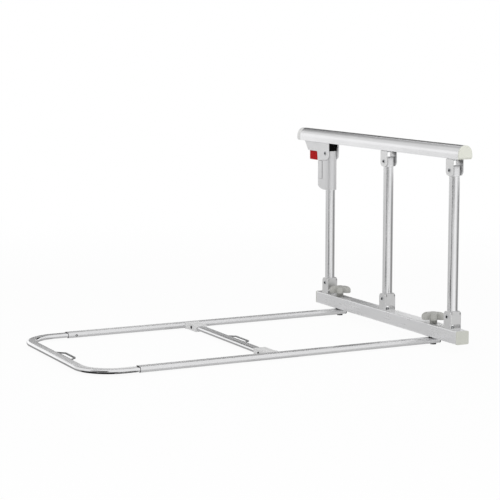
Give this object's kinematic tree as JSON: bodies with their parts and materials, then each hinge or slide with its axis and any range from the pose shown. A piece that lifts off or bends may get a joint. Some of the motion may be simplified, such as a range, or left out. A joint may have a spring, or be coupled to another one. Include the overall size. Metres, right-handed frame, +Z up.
{
  "type": "folding bed guard rail",
  "caption": "Folding bedside rail: a handrail on three hinged posts with a push-button lock, above a telescoping tube frame that slides under a mattress.",
  "frame": {"origin": "on the surface that the part rests on, under the middle of its box", "axes": "+X across the bed, from the end of the U tube to the rail; +Y along the rail, towards the lock; +Z up"},
  "size_m": [0.815, 0.695, 0.4295],
  "materials": {
    "anodised": "satin anodised",
    "bright_aluminium": "bright",
    "bracket_sheet": "plated, satin",
    "bright_steel": "plated",
    "dark_steel": "blackened",
    "pale_plastic": "moulded, fine satin",
    "knob_plastic": "moulded, satin",
    "sleeve_plastic": "moulded, satin grey",
    "cap_plastic": "moulded, satin",
    "red_plastic": "moulded, half gloss",
    "black_plastic": "moulded",
    "black_rubber": "matt"
  },
  "bodies": {
    "base": {"bottom_rail": "anodised", "bottom_rail_cap_near": "cap_plastic", "bottom_rail_cap_far": "cap_plastic", "hinge_bracket_near": "bracket_sheet", "hinge_bracket_mid": "bracket_sheet", "hinge_bracket_far": "bracket_sheet", "bracket_screw_near": "bright_steel", "bracket_screw_mid": "bright_steel", "bracket_screw_far": "bright_steel", "lower_pin_near": "bright_steel", "lower_pin_mid": "bright_steel", "lower_pin_far": "bright_steel", "side_tube_near": "anodised", "side_tube_far": "anodised", "side_tube_plug_near": "black_plastic", "side_tube_plug_far": "black_plastic", "clamp_spacer_near": "black_rubber", "clamp_spacer_far": "black_rubber", "clamp_nut_near": "dark_steel", "clamp_nut_far": "dark_steel", "crossbar": "anodised", "crossbar_connector_near": "pale_plastic", "crossbar_connector_far": "pale_plastic", "connector_screw_near": "dark_steel", "connector_screw_far": "dark_steel", "crossbar_strap_loop": "bright_steel", "set_screw_near": "dark_steel", "set_screw_far": "dark_steel"},
    "far_post": {"far_post_tube": "anodised", "far_lower_plug": "pale_plastic", "lock_sleeve": "sleeve_plastic", "strike_block": "pale_plastic", "post_top_bumper": "black_rubber"},
    "mid_post": {"mid_post_tube": "anodised", "mid_lower_plug": "pale_plastic", "mid_upper_plug": "pale_plastic"},
    "near_post": {"near_post_tube": "anodised", "near_lower_plug": "pale_plastic", "near_upper_plug": "pale_plastic"},
    "handrail": {"handrail": "anodised", "handrail_cap_near": "cap_plastic", "handrail_cap_far": "cap_plastic", "top_clevis_near": "bracket_sheet", "top_clevis_mid": "bracket_sheet", "clevis_screw_near": "bright_steel", "clevis_screw_mid": "bright_steel", "upper_pin_near": "bright_steel", "upper_pin_mid": "bright_steel", "upper_pin_far": "bright_steel", "lock_housing": "pale_plastic", "button_spring": "bright_steel"},
    "red_button": {"red_button": "red_plastic"},
    "knob_near": {"clamp_knob_near": "knob_plastic", "clamp_bolt_near": "bright_steel"},
    "knob_far": {"clamp_knob_far": "knob_plastic", "clamp_bolt_far": "bright_steel"},
    "u_extension": {"u_tube": "bright_aluminium", "u_strap_loop": "bright_steel"}
  },
  "joints": [
    {"name": "far_post_fold", "type": "hinge", "parent": "base", "child": "far_post", "pos_m": [0.3805, 0.2125, 0.0705], "axis": [-1, 0, 0], "range_deg": [0, 74]},
    {"name": "mid_post_fold", "type": "hinge", "parent": "base", "child": "mid_post", "pos_m": [0.3805, -0.0475, 0.0705], "axis": [-1, 0, 0], "range_deg": [0, 74]},
    {"name": "near_post_fold", "type": "hinge", "parent": "base", "child": "near_post", "pos_m": [0.3805, -0.3075, 0.0705], "axis": [-1, 0, 0], "range_deg": [0, 74]},
    {"name": "handrail_level", "type": "hinge", "parent": "far_post", "child": "handrail", "pos_m": [0.3805, 0.2125, 0.376], "axis": [1, 0, 0], "range_deg": [0, 74]},
    {"name": "button_press", "type": "slide", "parent": "handrail", "child": "red_button", "axis": [0, 0, 1], "range_m": [0, 0.005], "stiffness_N_per_m": 400, "springref_m": -0.004, "deforming": ["button_spring"]},
    {"name": "near_knob_turn", "type": "hinge", "parent": "base", "child": "knob_near", "pos_m": [0.3805, -0.2365, 0.0575], "axis": [0, 0, 1], "continuous": true},
    {"name": "far_knob_turn", "type": "hinge", "parent": "base", "child": "knob_far", "pos_m": [0.3805, 0.1635, 0.0575], "axis": [0, 0, 1], "continuous": true},
    {"name": "u_slide", "type": "slide", "parent": "base", "child": "u_extension", "axis": [-1, 0, 0], "range_m": [-0.026, 0.14]}
  ],
  "couplings": [
    {"joint": "mid_post_fold", "follows": "far_post_fold", "ratio": 1},
    {"joint": "near_post_fold", "follows": "far_post_fold", "ratio": 1},
    {"joint": "handrail_level", "follows": "far_post_fold", "ratio": 1}
  ]
}
